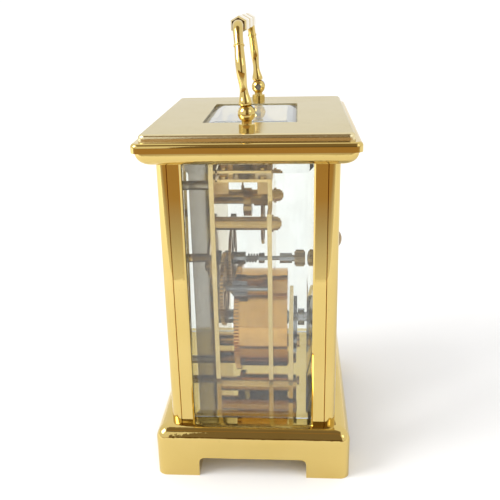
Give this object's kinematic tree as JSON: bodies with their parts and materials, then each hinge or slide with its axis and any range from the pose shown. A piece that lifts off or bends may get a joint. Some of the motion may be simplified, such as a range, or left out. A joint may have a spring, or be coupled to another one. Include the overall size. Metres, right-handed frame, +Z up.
{
  "type": "carriage clock",
  "caption": "Glazed brass carriage clock on bracket feet with a folding handle, a hinged back door and a visible spring-driven movement with a platform escapement.",
  "frame": {"origin": "centre of the base on the surface it stands on", "axes": "+Z up, -Y towards the dial, +X to the right as seen from the dial side"},
  "size_m": [0.0848, 0.0668, 0.1477],
  "materials": {
    "gilt_brass": "mirror polished and lacquered",
    "movement_brass": "fine polished",
    "silvered_brass": "gilt satin",
    "polished_steel": "polished",
    "blued_steel": "blued",
    "white_enamel": "fired enamel gloss",
    "bevelled_glass": "polished, bevelled edges"
  },
  "bodies": {
    "case": {"back_plate": "movement_brass", "balance_cock": "movement_brass", "barrel_bridge": "movement_brass", "base": "gilt_brass", "case_screws": "polished_steel", "click_spring": "polished_steel", "cornice": "gilt_brass", "dial": "white_enamel", "door_pins": "polished_steel", "escape_cock": "movement_brass", "front_plate": "movement_brass", "glass_front": "bevelled_glass", "glass_left": "bevelled_glass", "glass_right": "bevelled_glass", "glass_top": "bevelled_glass", "hairspring": "blued_steel", "handle_pivots": "polished_steel", "handle_post_left": "gilt_brass", "handle_post_right": "gilt_brass", "lower_pillars": "movement_brass", "movement_screws": "movement_brass", "pillar_back_left": "gilt_brass", "pillar_back_right": "gilt_brass", "pillar_front_left": "gilt_brass", "pillar_front_right": "gilt_brass", "platform": "silvered_brass", "platform_brackets": "movement_brass", "top_plate": "gilt_brass", "upper_pillars": "movement_brass"},
    "barrel": {"barrel": "movement_brass", "barrel_cover": "movement_brass", "mainspring": "polished_steel"},
    "winding": {"barrel_arbor": "polished_steel", "ratchet_wheel": "polished_steel"},
    "click": {"click": "polished_steel"},
    "second": {"second_arbor": "polished_steel", "second_wheel": "movement_brass"},
    "centre": {"centre_pinion": "polished_steel", "centre_wheel": "movement_brass"},
    "third": {"third_arbor": "polished_steel", "third_wheel": "movement_brass"},
    "contrate": {"contrate_wheel": "movement_brass"},
    "escape": {"escape_wheel": "movement_brass"},
    "lever": {"lever": "polished_steel"},
    "balance": {"balance": "movement_brass"},
    "regulator": {"regulator": "movement_brass"},
    "hand_arbor": {"centre_arbor": "polished_steel", "friction_spring": "polished_steel", "setting_knob": "movement_brass", "cannon_pinion": "polished_steel", "minute_hand": "blued_steel"},
    "motion": {"minute_wheel": "movement_brass"},
    "hour": {"hour_wheel": "movement_brass", "hour_hand": "blued_steel"},
    "door": {"back_door": "gilt_brass", "glass_door": "bevelled_glass", "door_knob": "gilt_brass"},
    "handle": {"handle_arm_left": "gilt_brass", "handle_arm_right": "gilt_brass", "handle_grip": "gilt_brass"}
  },
  "joints": [
    {"name": "handle_tilt", "type": "hinge", "parent": "case", "child": "handle", "pos_m": [0, 0, 0.1209], "axis": [1, 0, 0], "range_deg": [-90, 80]},
    {"name": "back_door_hinge", "type": "hinge", "parent": "case", "child": "door", "pos_m": [0.0268, 0.026, 0.0624], "axis": [0, 0, -1], "range_deg": [0, 100]},
    {"name": "hand_setting", "type": "hinge", "parent": "case", "child": "hand_arbor", "pos_m": [0, 0, 0.0639], "axis": [0, 1, 0], "continuous": true},
    {"name": "minute_wheel_turn", "type": "hinge", "parent": "case", "child": "motion", "pos_m": [0.0084, -0.0152, 0.0639], "axis": [0, 1, 0], "continuous": true},
    {"name": "hour_hand_turn", "type": "hinge", "parent": "case", "child": "hour", "pos_m": [0, -0.0176, 0.0639], "axis": [0, 1, 0], "continuous": true},
    {"name": "barrel_turn", "type": "hinge", "parent": "case", "child": "barrel", "pos_m": [0, 0.002, 0.0406], "axis": [0, 1, 0], "continuous": true},
    {"name": "second_turn", "type": "hinge", "parent": "case", "child": "second", "pos_m": [0.01345, -0.008, 0.0575], "axis": [0, 1, 0], "continuous": true},
    {"name": "centre_turn", "type": "hinge", "parent": "case", "child": "centre", "pos_m": [0, -0.009, 0.0639], "axis": [0, 1, 0], "continuous": true},
    {"name": "third_turn", "type": "hinge", "parent": "case", "child": "third", "pos_m": [-0.0062, 0.002, 0.0769], "axis": [0, 1, 0], "continuous": true},
    {"name": "contrate_turn", "type": "hinge", "parent": "case", "child": "contrate", "pos_m": [0, -0.002, 0.085], "axis": [0, 1, 0], "continuous": true},
    {"name": "escape_turn", "type": "hinge", "parent": "case", "child": "escape", "pos_m": [0, -0.00422, 0.0962], "axis": [0, 0, 1], "continuous": true},
    {"name": "winding_square", "type": "hinge", "parent": "case", "child": "winding", "pos_m": [0, 0.014, 0.0406], "axis": [0, 1, 0], "range_deg": [0, 1800]},
    {"name": "click_lift", "type": "hinge", "parent": "case", "child": "click", "pos_m": [0.0086, 0.0142, 0.0344], "axis": [0, 1, 0], "range_deg": [0, 12]},
    {"name": "lever_swing", "type": "hinge", "parent": "case", "child": "lever", "pos_m": [0.00377, -0.00195, 0.0955], "axis": [0, 0, 1], "range_deg": [-4, 4]},
    {"name": "balance_swing", "type": "hinge", "parent": "case", "child": "balance", "pos_m": [0.0075, 0.0003, 0.099], "axis": [0, 0, 1], "range_deg": [-270, 270], "stiffness_Nm_per_rad": 0.0000025},
    {"name": "regulator_index", "type": "hinge", "parent": "case", "child": "regulator", "pos_m": [0.0075, 0.0003, 0.102], "axis": [0, 0, 1], "range_deg": [-25, 25]}
  ],
  "couplings": [
    {"joint": "second_turn", "follows": "barrel_turn", "ratio": -8},
    {"joint": "centre_turn", "follows": "barrel_turn", "ratio": 40},
    {"joint": "third_turn", "follows": "barrel_turn", "ratio": -320},
    {"joint": "contrate_turn", "follows": "barrel_turn", "ratio": 2400},
    {"joint": "escape_turn", "follows": "barrel_turn", "ratio": -24000},
    {"joint": "minute_wheel_turn", "follows": "hand_setting", "ratio": -0.33333},
    {"joint": "hour_hand_turn", "follows": "hand_setting", "ratio": 0.083333}
  ]
}
